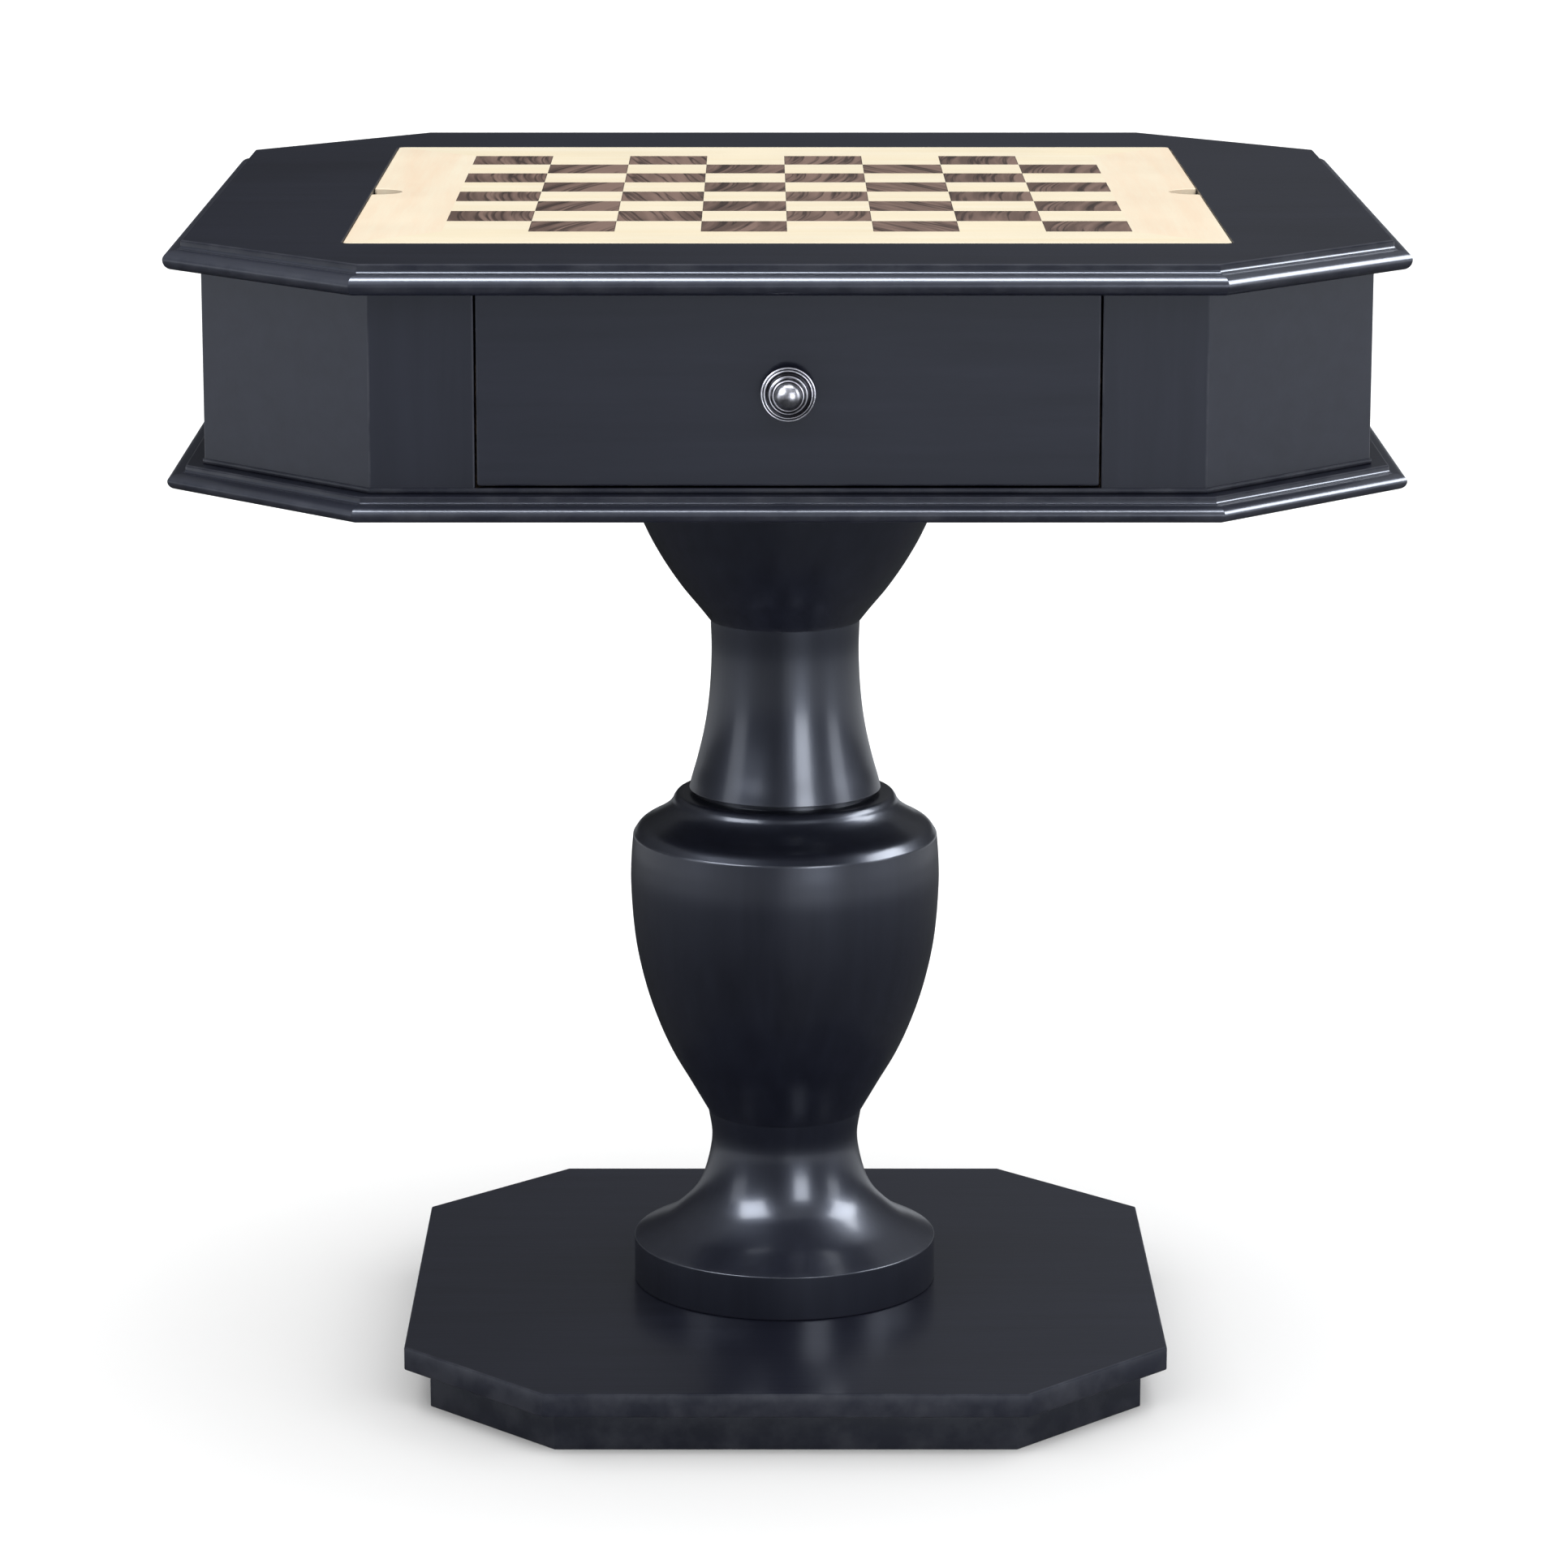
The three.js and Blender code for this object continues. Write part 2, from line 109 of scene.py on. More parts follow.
def arc(centre, radii, start, end, steps=5):
    # centre plus radii times (cos t, sin t), t from start to end in degrees
    t = np.radians(np.linspace(start, end, steps + 1))
    return np.stack([centre[0] + radii[0] * np.cos(t), centre[1] + radii[1] * np.sin(t)], -1)


def smoothCurve(points, steps=10):
    # a centripetal Catmull-Rom curve through the points: three nested blends between
    # neighbours, with knots spaced by the square root of the distance
    p = np.asarray(points, float)
    p = np.vstack([2 * p[0] - p[1], p, 2 * p[-1] - p[-2]])
    knot = np.concatenate([[0], np.cumsum(np.sqrt(np.linalg.norm(np.diff(p, axis=0), axis=1)))])
    p0, p1, p2, p3 = (p[k:len(p) - 3 + k, None, :] for k in range(4))
    t0, t1, t2, t3 = (knot[k:len(p) - 3 + k, None, None] for k in range(4))
    t = t1 + (t2 - t1) * np.linspace(0, 1, steps, endpoint=False)[None, :, None]
    a1 = ((t1 - t) * p0 + (t - t0) * p1) / (t1 - t0)
    a2 = ((t2 - t) * p1 + (t - t1) * p2) / (t2 - t1)
    a3 = ((t3 - t) * p2 + (t - t2) * p3) / (t3 - t2)
    b1 = ((t2 - t) * a1 + (t - t0) * a2) / (t2 - t0)
    b2 = ((t3 - t) * a2 + (t - t1) * a3) / (t3 - t1)
    return np.vstack([(((t2 - t) * b1 + (t - t1) * b2) / (t2 - t1)).reshape(-1, 2), p[-2][None, :]])


def eased(points, reach, steps=4):
    # an open line with each inner corner swapped for a quadratic bend that starts the reach
    # before the corner and ends the reach after it, with a point held a little further out;
    # the reach is at most 0.3 of the shorter side
    p = np.asarray(points, float)
    before, after = p[:-2] - p[1:-1], p[2:] - p[1:-1]
    longBefore = np.linalg.norm(before, axis=1, keepdims=True)
    longAfter = np.linalg.norm(after, axis=1, keepdims=True)
    give = np.minimum(reach, 0.3 * np.minimum(longBefore, longAfter))
    start = (p[1:-1] + before / longBefore * give)[:, None]
    end = (p[1:-1] + after / longAfter * give)[:, None]
    heldStart = (p[1:-1] + before / longBefore * give * 1.4)[:, None]
    heldEnd = (p[1:-1] + after / longAfter * give * 1.4)[:, None]
    t = np.linspace(0, 1, steps + 1)[None, :, None]
    bends = (1 - t) ** 2 * start + 2 * t * (1 - t) * p[1:-1, None] + t ** 2 * end
    bends = np.concatenate([heldStart, bends, heldEnd], axis=1)
    return np.vstack([p[:1], bends.reshape(-1, 2), p[-1:]])


def turning(name, profile, body, finish, wornAndSheen, around, axis=upright, place=(0, 0, 0)):
    # radius r and height h carried round an axis: r cos u along the first direction,
    # r sin u along the second and h along the third; a ring at no radius is one point
    u = np.linspace(0, 2 * np.pi, around, endpoint=False)
    r, h = profile[:, 0:1], profile[:, 1:2]
    local = np.stack([r * np.cos(u), r * np.sin(u), h + 0 * u], -1).reshape(-1, 3)
    points = local @ np.asarray(axis, float) + np.asarray(place, float)
    poled = profile[0, 0] < 1e-6 and profile[-1, 0] < 1e-6
    piece = addMesh(name, points, ringFaces(len(profile), around, closed=not poled), body,
                    finish, np.repeat(wornAndSheen, around))
    if poled:
        sealPoles(piece.data)
    return piece


def sealPoles(mesh):
    # merges each pole's ring into one point
    work = bmesh.new()
    work.from_mesh(mesh)
    bmesh.ops.remove_doubles(work, verts=work.verts, dist=1e-6)
    work.to_mesh(mesh)
    work.free()


def outline(shape, offset, steps=5):
    # an eight-cornered outline with rounded corners, grown by the offset: each point is its
    # corner's arc centre plus (corner radius + offset) times the outward direction; with
    # no cut it is a rectangle, and with no straight left it is a circle
    halfX, halfY, cut, radius = shape[:4]
    centre = shape[4] if len(shape) > 4 else (0.0, 0.0)
    coreX, coreY = halfX - radius, halfY - radius
    core = max(cut - (2 - math.sqrt(2)) * radius, 0.0)
    signs = np.array([(1, 1), (1, 1), (-1, 1), (-1, 1), (-1, -1), (-1, -1), (1, -1), (1, -1)])
    nearX = np.array([0, core, core, 0, 0, core, core, 0])
    nearY = np.array([core, 0, 0, core, core, 0, 0, core])
    cx = signs[:, 0] * (coreX - nearX) + centre[0]
    cy = signs[:, 1] * (coreY - nearY) + centre[1]
    t = np.radians(np.arange(8)[:, None] * 45.0 + np.linspace(0, 45, steps + 1)[None, :])
    x = cx[:, None] + (radius + offset) * np.cos(t)
    y = cy[:, None] + (radius + offset) * np.sin(t)
    return np.stack([x, y], -1).reshape(-1, 2)


def circle(radius, centre=(0.0, 0.0)):
    # the outline that is all corner: its half widths are its corner radius
    return (radius, radius, 0.0, radius, centre)


def edgeRings(shape, low, high, ease, easeLow=None, hold=edgeHold, steps=4):
    # rings up the outside of a slab: in over the lower face, round the lower edge, up,
    # and round the upper edge on to the upper face, with a narrow flat kept beside each bend
    easeLow = ease if easeLow is None else easeLow
    t = np.radians(np.linspace(0, 90, steps + 1))
    rings = [(shape, -easeLow - hold, low, 0.0)]
    rings += [(shape, -easeLow + easeLow * math.sin(a), low + easeLow * (1 - math.cos(a)), 1.0) for a in t]
    rings += [(shape, -ease + ease * math.cos(a), high - ease * (1 - math.sin(a)), 1.0) for a in t]
    return rings + [(shape, -ease - hold, high, 0.0)]


def slab(name, rings, body, finish, holed=True, axis=upright, place=(0, 0, 0)):
    # a board whose every ring is an outline at one height; a holed one closes on itself
    # through its hole, and a plain one has a flat face at each end
    stack = []
    for shape, offset, height, _ in rings:
        line = outline(shape, offset)
        stack.append(np.column_stack([line, np.full(len(line), height)]))
    around = len(stack[0])
    points = np.vstack(stack) @ np.asarray(axis, float) + np.asarray(place, float)
    faces = ringFaces(len(rings), around, closed=holed) + ([] if holed else endCaps(len(rings), around))
    return addMesh(name, points, faces, body, finish, np.repeat([r[3] for r in rings], around))


def newFinish(name):
    finish = bpy.data.materials.new(name)
    finish.use_nodes = True
    tree = finish.node_tree
    return finish, FinishNodes(tree), tree.nodes["Principled BSDF"]


class FinishNodes:
    # short ways to add and join nodes in one material
    def __init__(self, tree):
        self.tree = tree

    def add(self, kind, inputs=None, **settings):
        node = self.tree.nodes.new(kind)
        for key, value in settings.items():
            setattr(node, key, value)
        for key, value in (inputs or {}).items():
            self.put(node.inputs[key], value)
        return node

    def put(self, socket, value):
        if isinstance(value, bpy.types.NodeSocket):
            self.tree.links.new(value, socket)
        else:
            socket.default_value = value

    def math(self, operation, a, b=0.0, c=0.0, clamp=False):
        node = self.add("ShaderNodeMath", operation=operation, use_clamp=clamp)
        for index, value in enumerate((a, b, c)):
            self.put(node.inputs[index], value)
        return node.outputs[0]

    def mix(self, factor, a, b):
        node = self.add("ShaderNodeMix", data_type="RGBA")
        self.put(node.inputs["Factor"], factor)
        self.put(node.inputs[6], a)
        self.put(node.inputs[7], b)
        return node.outputs[2]

    def ramp(self, factor, stops):
        node = self.add("ShaderNodeValToRGB")
        while len(node.color_ramp.elements) < len(stops):
            node.color_ramp.elements.new(0.5)
        for element, (position, colour) in zip(node.color_ramp.elements, stops):
            element.position = position
            element.color = (*colour, 1.0) if isinstance(colour, tuple) else (colour, colour, colour, 1.0)
        self.put(node.inputs[0], factor)
        return node.outputs[0]

    def noise(self, vector, scale, detail=4.0, roughness=0.5, distortion=0.0):
        node = self.add("ShaderNodeTexNoise", {
            "Vector": vector, "Scale": scale, "Detail": detail, "Roughness": roughness,
            "Distortion": distortion})
        return node.outputs["Fac"]

    def join(self, x, y, z):
        return self.add("ShaderNodeCombineXYZ", {"X": x, "Y": y, "Z": z}).outputs[0]

    def place(self, scale=(1, 1, 1), turn=(0, 0, 0)):
        coords = self.add("ShaderNodeTexCoord").outputs["Object"]
        mapping = self.add("ShaderNodeMapping", {"Vector": coords, "Scale": scale, "Rotation": turn})
        return mapping.outputs[0]

    def split(self):
        coords = self.add("ShaderNodeTexCoord").outputs["Object"]
        return self.add("ShaderNodeSeparateXYZ", {"Vector": coords}).outputs


lacquerLook = {
    "deep": (0.0062, 0.0068, 0.0130),     # blue-black
    "lift": (0.0135, 0.0150, 0.0260),
    "rubAndSheen": (0.045, 0.047, 0.058),         # lighter colour on the rounded edges: a little edge wear and a painted highlight
    "roughness": (0.26, 0.36),
    "coat": 0.45,
    "coatRoughness": 0.18,
    "mirrorTint": (0.78, 0.84, 1.0),
    "grainDepth": 0.00006,
}


def lacquerFinish(name, along, turn=0.0):
    # grain stretched along one axis, with clouding in the gloss and a lighter colour on the edges that is
    # partly edge wear and partly a painted highlight
    finish, make, shader = newFinish(name)
    stretch = {"x": (6, 90, 90), "y": (90, 6, 90), "z": (90, 90, 6)}[along]
    grainSpace = make.place(scale=stretch, turn=(0, 0, turn))
    grain = make.noise(grainSpace, 1.0, 6.0, 0.62, 0.15)
    pores = make.noise(make.place(scale=tuple(4 * s for s in stretch), turn=(0, 0, turn)), 1.0, 3.0, 0.7)
    cloud = make.noise(make.place(), 5.0, 3.0, 0.5)
    speck = make.noise(make.place(), 900.0, 2.0, 0.5)
    tone = make.math("MULTIPLY_ADD", grain, 0.55, make.math("MULTIPLY", cloud, 0.45))
    colour = make.ramp(tone, [(0.30, lacquerLook["deep"]), (0.72, lacquerLook["lift"])])
    # painted highlight with some wear: a patchy lighter colour laid on the rounded edges (arris 1)
    arris = make.add("ShaderNodeAttribute", attribute_name="arris").outputs["Fac"]
    patchy = make.ramp(make.noise(make.place(), 38.0, 5.0, 0.6), [(0.42, 0.0), (0.66, 1.0)])
    rubAndSheen = make.math("MULTIPLY", arris, make.math("MULTIPLY_ADD", patchy, 0.55, 0.12))
    make.put(shader.inputs["Base Color"], make.mix(rubAndSheen, colour, (*lacquerLook["rubAndSheen"], 1.0)))
    low, high = lacquerLook["roughness"]
    gloss = make.math("MULTIPLY_ADD", cloud, high - low, low)
    gloss = make.math("MULTIPLY_ADD", speck, 0.05, gloss)
    make.put(shader.inputs["Roughness"], gloss)
    shader.inputs["Specular Tint"].default_value = (*lacquerLook["mirrorTint"], 1.0)
    shader.inputs["Coat Weight"].default_value = lacquerLook["coat"]
    shader.inputs["Coat Roughness"].default_value = lacquerLook["coatRoughness"]
    height = make.math("MULTIPLY_ADD", pores, 0.5, make.math("MULTIPLY", grain, 0.9))
    bump = make.add("ShaderNodeBump", {
        "Height": height, "Strength": 0.25, "Distance": lacquerLook["grainDepth"] * 4})
    make.put(shader.inputs["Normal"], bump.outputs[0])
    return finish


lacquerX = lacquerFinish("lacquer_grain_across", "x")
lacquerY = lacquerFinish("lacquer_grain_deep", "y")
lacquerZ = lacquerFinish("lacquer_grain_upright", "z")
lacquerSlant = lacquerFinish("lacquer_grain_slant", "y", math.radians(45))
lacquerSlantBack = lacquerFinish("lacquer_grain_slant_back", "y", math.radians(-45))


boardLook = {
    "square": 53.5 * mm,
    "count": 8,
    "mapleLight": (0.97, 0.875, 0.68),
    "mapleDark": (0.93, 0.80, 0.56),
    "peach": (0.95, 0.75, 0.55),
    "walnutLight": (0.275, 0.180, 0.145),
    "walnutMid": (0.120, 0.076, 0.060),
    "walnutDark": (0.034, 0.020, 0.016),
    "outline": 0.45 * mm,
    "roughness": 0.30,
}


def mapleTone(make, along):
    # long soft streaks with a fine ripple across them
    stretch = {"x": (3, 60, 60), "y": (60, 3, 60), "z": (60, 60, 3)}[along]
    streak = make.noise(make.place(scale=stretch), 1.0, 5.0, 0.55, 0.2)
    fine = make.noise(make.place(scale=tuple(9 * s for s in stretch)), 1.0, 3.0, 0.6)
    return make.math("MULTIPLY_ADD", fine, 0.25, make.math("MULTIPLY", streak, 0.75))


def boardFinish():
    # 8 by 8 squares of matched walnut and maple inside a border of four mitred maple strips
    finish, make, shader = newFinish("inlaid_board")
    x, y, z = make.split()
    side, half = boardLook["square"], boardLook["count"] / 2
    u = make.math("ADD", make.math("DIVIDE", x, side), half)
    v = make.math("ADD", make.math("DIVIDE", y, side), half)
    column, row = make.math("FLOOR", u), make.math("FLOOR", v)
    inU, inV = make.math("FRACT", u), make.math("FRACT", v)
    limit = half * side
    absX, absY = make.math("ABSOLUTE", x), make.math("ABSOLUTE", y)
    inField = make.math("MULTIPLY", make.math("LESS_THAN", absX, limit),
                        make.math("LESS_THAN", absY, limit))
    odd = make.math("GREATER_THAN", make.math("FLOORED_MODULO", make.math("ADD", column, row), 2.0), 0.5)
    dark = make.math("MULTIPLY", odd, inField)

    # walnut: the leaves of one column come from one flitch, so the streaks repeat down it
    lean = make.math("MULTIPLY", make.math("SINE", make.math("MULTIPLY", column, 4.1)), 0.34)
    bend = make.math("SINE", make.math("MULTIPLY_ADD", inV, 2.2, column))
    across = make.math("MULTIPLY_ADD", inV, lean, make.math("MULTIPLY_ADD", bend, 0.08, inU))
    slow = make.math("MULTIPLY_ADD", row, 0.05, make.math("MULTIPLY", inV, 0.32))
    leaf = make.join(make.math("MULTIPLY", across, 3.4), slow, make.math("MULTIPLY", column, 5.37))
    broad = make.noise(leaf, 1.0, 3.0, 0.55, 0.5)
    fineLeaf = make.join(make.math("MULTIPLY", across, 26.0), slow, make.math("MULTIPLY", column, 3.7))
    fine = make.noise(fineLeaf, 1.0, 4.0, 0.65, 0.3)
    line = make.noise(make.join(make.math("MULTIPLY", across, 8.5), slow,
                                make.math("MULTIPLY", column, 9.1)), 1.0, 2.0, 0.5, 0.6)
    lineMask = make.ramp(line, [(0.50, 0.0), (0.60, 1.0), (0.68, 0.15)])
    walnut = make.ramp(broad, [(0.38, boardLook["walnutMid"]), (0.56, boardLook["walnutLight"])])
    walnut = make.mix(make.math("MULTIPLY", fine, 0.35), walnut, (*boardLook["walnutMid"], 1.0))
    walnut = make.mix(make.math("MULTIPLY", lineMask, 0.92), walnut, (*boardLook["walnutDark"], 1.0))

    # a fine scorched line round each dark square
    edgeU = make.math("MINIMUM", inU, make.math("SUBTRACT", 1.0, inU))
    edgeV = make.math("MINIMUM", inV, make.math("SUBTRACT", 1.0, inV))
    edge = make.math("MULTIPLY", make.math("MINIMUM", edgeU, edgeV), side)
    scorch = make.math("MULTIPLY", make.math("LESS_THAN", edge, boardLook["outline"]), 0.7)
    walnut = make.mix(scorch, walnut, (*boardLook["walnutDark"], 1.0))

    # maple: the squares and the front and back strips run across, the side strips run deep
    sideStrip = make.math("MULTIPLY", make.math("GREATER_THAN", absX, absY),
                          make.math("SUBTRACT", 1.0, inField))
    toneAcross, toneDeep = mapleTone(make, "x"), mapleTone(make, "y")
    light, deep = boardLook["mapleLight"], boardLook["mapleDark"]
    mapleAcross = make.ramp(toneAcross, [(0.3, deep), (0.65, light)])
    mapleDeep = make.ramp(toneDeep, [(0.3, boardLook["peach"]), (0.7, light)])
    maple = make.mix(sideStrip, mapleAcross, mapleDeep)
    onTop = make.math("GREATER_THAN", z, topOfTable - 0.5 * mm)
    pattern = make.mix(make.math("MULTIPLY", dark, onTop), maple, walnut)
    make.put(shader.inputs["Base Color"], pattern)
    cloud = make.noise(make.place(), 14.0, 3.0, 0.5)
    make.put(shader.inputs["Roughness"], make.math("MULTIPLY_ADD", cloud, 0.12, boardLook["roughness"]))
    shader.inputs["Coat Weight"].default_value = 0.25
    shader.inputs["Coat Roughness"].default_value = 0.15
    relief = make.math("ADD", make.math("MULTIPLY", fine, 0.4), toneAcross)
    bump = make.add("ShaderNodeBump", {"Height": relief, "Strength": 0.2, "Distance": 0.0001})
    make.put(shader.inputs["Normal"], bump.outputs[0])
    return finish


def woodFinish(name, along, light, dark, roughness=0.55):
    # bare timber: broad growth bands, fine fibres and a few darker pores
    finish, make, shader = newFinish(name)
    stretch = {"x": (2.5, 38, 38), "y": (38, 2.5, 38), "z": (38, 38, 2.5)}[along]
    band = make.noise(make.place(scale=stretch), 1.0, 4.0, 0.55, 0.6)
    fibre = make.noise(make.place(scale=tuple(12 * s for s in stretch)), 1.0, 4.0, 0.65)
    tone = make.math("MULTIPLY_ADD", fibre, 0.4, make.math("MULTIPLY", band, 0.6))
    make.put(shader.inputs["Base Color"], make.ramp(tone, [(0.32, dark), (0.66, light)]))
    make.put(shader.inputs["Roughness"], make.math("MULTIPLY_ADD", fibre, 0.2, roughness))
    bump = make.add("ShaderNodeBump", {"Height": fibre, "Strength": 0.35, "Distance": 0.0002})
    make.put(shader.inputs["Normal"], bump.outputs[0])
    return finish


def metalFinish(name, bright, dark, roughness, brushed=False):
    # tarnish gathers in the recesses (arris 0) and is rubbed off the rims (arris 1)
    finish, make, shader = newFinish(name)
    shader.inputs["Metallic"].default_value = 1.0
    arris = make.add("ShaderNodeAttribute", attribute_name="arris").outputs["Fac"]
    mottle = make.noise(make.place(), 420.0, 5.0, 0.6)
    rubbed = make.math("ADD", arris, make.math("MULTIPLY_ADD", mottle, 0.7, -0.35), clamp=True)
    make.put(shader.inputs["Base Color"], make.ramp(rubbed, [(0.05, dark), (0.8, bright)]))
    make.put(shader.inputs["Roughness"], make.math("MULTIPLY_ADD", mottle, 0.18, roughness))
    scratch = make.noise(make.place(scale=(1, 30, 1) if brushed else (1, 1, 1)), 700.0, 3.0, 0.6)
    bump = make.add("ShaderNodeBump", {"Height": scratch, "Strength": 0.15, "Distance": 0.0001})
    make.put(shader.inputs["Normal"], bump.outputs[0])
    return finish


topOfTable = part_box("top_frame")[1][2]
inlaidBoard = boardFinish()
drawerWoodX = woodFinish("drawer_wood_across", "x", (0.66, 0.47, 0.28), (0.50, 0.33, 0.18))
drawerWoodY = woodFinish("drawer_wood_deep", "y", (0.66, 0.47, 0.28), (0.50, 0.33, 0.18))
wellVeneer = woodFinish("well_veneer", "x", (0.80, 0.62, 0.40), (0.62, 0.44, 0.26), 0.35)
pewter = metalFinish("antique_pewter", (0.50, 0.495, 0.53), (0.035, 0.034, 0.040), 0.24)
zincSteel = metalFinish("zinc_steel", (0.62, 0.63, 0.65), (0.35, 0.36, 0.38), 0.35)
print("finishes made")


bodyOf = {node: body for body, nodes in frame["record"]["behaviour"]["bodies"].items() for node in nodes}
towardsFront = ((1, 0, 0), (0, 0, 1), (0, -1, 0))      # across, up and out of the front drawer
towardsBack = ((-1, 0, 0), (0, 0, 1), (0, 1, 0))       # the same for the back drawer
rodBore = 6.0                 # radius of the hole for the tie rod

tableLook = {
    "topHalf": boxOf("top_frame")[1][0],
    "topCut": 116.1,
    "cornerRadius": 2.0,
    "ease": 1.2,              # rounding of the big panels' edges
    "lowEase": 0.5,           # the same for the top frame's lower edge
    "boardGap": 0.9,
    "rebateEase": 0.6,
    "lipHalf": 259.0,
    "lipCorner": 3.0,
    "seatBevel": 0.2,
    "lipBevel": (0.5, 0.3),   # above and below
    "wellCorner": 1.5,
    "wellEase": 0.5,
}


def buildPanels():
    ease, corner = tableLook["ease"], tableLook["cornerRadius"]
    octagon = (tableLook["topHalf"], tableLook["topHalf"], tableLook["topCut"], corner)
    bore = circle(rodBore)

    low, high = boxOf("top_frame")[0][2], boxOf("top_frame")[1][2]
    seat = boxOf("game_board")[0][2]
    opening = boxOf("game_board")[1][0] + tableLook["boardGap"]
    rebate = (opening, opening, 0.0, boardBuild["corner"] + tableLook["boardGap"])
    lip = (tableLook["lipHalf"], tableLook["lipHalf"], 0.0, tableLook["lipCorner"])
    bend, seatBevel = tableLook["rebateEase"], tableLook["seatBevel"]
    lipAbove, lipBelow = tableLook["lipBevel"]
    rings = [(lip, lipBelow, low, 0.0)] + edgeRings(octagon, low, high, ease, tableLook["lowEase"])
    rings += [(rebate, bend + edgeHold, high, 0.0)]
    rings += [(rebate, bend * (1 - math.sin(a)), high - bend * (1 - math.cos(a)), 1.0)
              for a in np.radians(np.linspace(0, 90, 5))]
    rings += [(rebate, 0.0, seat + seatBevel, 0.0), (rebate, -seatBevel, seat, 0.0),
              (lip, lipAbove, seat, 0.0), (lip, 0.0, seat - lipAbove, 0.0), (lip, 0.0, low + lipBelow, 0.0)]
    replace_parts(slab("top_frame_panel", rings, "table", lacquerX), "top_frame")

    plates = {
        # the outline and hole of each plate, its edge rounding and its finish
        "bottom_panel": (octagon, bore, ease, lacquerX),
        "base_plate": ((251.25, 251.25, 94.8, 2.4), bore, 1.2, lacquerX),
        "plinth": ((234.6, 234.6, 84.9, 2.0), circle(20.0), 0.8, lacquerX),
        "mounting_plate": ((125.0, 125.0, 0.0, 5.0), bore, 1.0, lacquerX),
        "shadow_strip": ((361.3, 361.3, 110.3, 1.4), (345.3, 345.3, 100.93, 1.0), 0.7, lacquerX),
    }
    for node, (shape, hole, bend, finish) in plates.items():
        low, high = boxOf(node)[0][2], boxOf(node)[1][2]
        rings = [(hole, 0.0, low, 0.0)] + edgeRings(shape, low, high, bend) + [(hole, 0.0, high, 0.0)]
        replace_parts(slab(node + "_slab", rings, "table", finish), node)

    low, high = boxOf("well_floor")
    shape = (high[0], high[1], 0.0, tableLook["wellCorner"])
    rings = edgeRings(shape, low[2], high[2], tableLook["wellEase"])
    floor = slab("well_floor_slab", rings, "table", wellVeneer, holed=False)
    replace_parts(floor, "well_floor")


sideNames = ["right", "back_right", "back", "back_left", "left", "front_left", "front", "front_right"]
mitreLean = math.tan(math.radians(22.5))      # a mitre's run for each unit outwards
nosingLook = {
    "reach": 11.0,
    "cove": 1.8,
    "quirk": 0.5,
    "noseRise": 5.9,
    "noseRun": 9.0,
    "underRise": 6.2,
    "underRun": 6.2,
    "rubAndSheenFrom": 9.0,           # how far out the lighter edge colour (edge wear and a painted highlight) begins, over how much it grows, and its most
    "rubAndSheenOver": 2.0,
    "rubAndSheenMost": 0.8,
    "seat": 0.06,             # glue line behind the moulding
    "mitreGap": 0.10,
    "topDrop": 3.6,
    "bottomDrop": 3.0,
}


def sideOf(half, cut, turn):
    # how far a side of the octagon stands from the middle, and half its length
    if turn % 2:
        return (2 * half - cut) / math.sqrt(2), cut / math.sqrt(2)
    return half, half - cut


def standOnSide(local, distance, turn):
    # local x outwards, y along the side and z up, turned by eighths of a turn
    t = math.radians(45.0 * turn)
    outward = np.array([math.cos(t), math.sin(t), 0])
    alongSide = np.array([-math.sin(t), math.cos(t), 0])
    up = np.array([0, 0, 1])
    return (local[:, 0:1] + distance) * outward + local[:, 1:2] * alongSide + local[:, 2:3] * up


def nosingSection(foot, top):
    # counter-clockwise, x outwards and z up: under side, lower quarter ellipse, the nose, a
    # quirk, and a small cove that curls back to the panel
    look = nosingLook
    squeeze = (top - foot) / (look["cove"] + look["quirk"] + look["noseRise"] + look["underRise"])
    level = foot + look["underRise"] * squeeze
    shelf = look["reach"] - look["noseRun"]
    noseTop = level + look["noseRise"] * squeeze
    coveFoot = noseTop + look["quirk"] * squeeze
    underRadii = (look["underRun"], look["underRise"] * squeeze)
    under = arc((look["reach"] - look["underRun"], level), underRadii, -90, 0, 10)
    nose = arc((shelf, level), (look["noseRun"], look["noseRise"] * squeeze), 0, 90, 14)
    cove = arc((shelf, top), (shelf - look["seat"], top - coveFoot), -90, -180, 6)
    return np.vstack([[(look["seat"], foot)], under, nose[1:], cove])


def buildNosing(prefix, foot, top):
    # the section runs along each side, longer by the mitre's run the further out it stands
    section = nosingSection(foot, top)
    # the nose's outer rounding gets the lacquer's lighter edge colour: edge wear and a painted highlight
    rubAndSheen = (section[:, 0] - nosingLook["rubAndSheenFrom"]) / nosingLook["rubAndSheenOver"]
    wornAndSheen = np.clip(rubAndSheen, 0, nosingLook["rubAndSheenMost"])
    for turn, side in enumerate(sideNames):
        distance, halfLength = sideOf(tableLook["topHalf"], tableLook["topCut"], turn)
        reach = halfLength - nosingLook["mitreGap"] / 2 + mitreLean * section[:, 0]
        near = np.column_stack([section[:, 0], reach, section[:, 1]])
        far = np.column_stack([section[:, 0], -reach, section[:, 1]])
        faces = ringFaces(2, len(section)) + endCaps(2, len(section))
        node = prefix + "_" + side
        points = standOnSide(np.vstack([near, far]), distance, turn)
        grain = [lacquerY, lacquerSlantBack, lacquerX, lacquerSlant][turn % 4]
        piece = addMesh(node + "_stick", points, faces, "table", grain, np.tile(wornAndSheen, 2), 30.0)
        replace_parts(piece, node)


carcassLook = {
    "half": 360.1,
    "cut": 109.6,
    "thick": 18.0,
    "arris": 1.2,             # rounding of the eight upright corners, half on each panel
    "openingHalf": 187.5,
    "openingArris": 0.8,
}


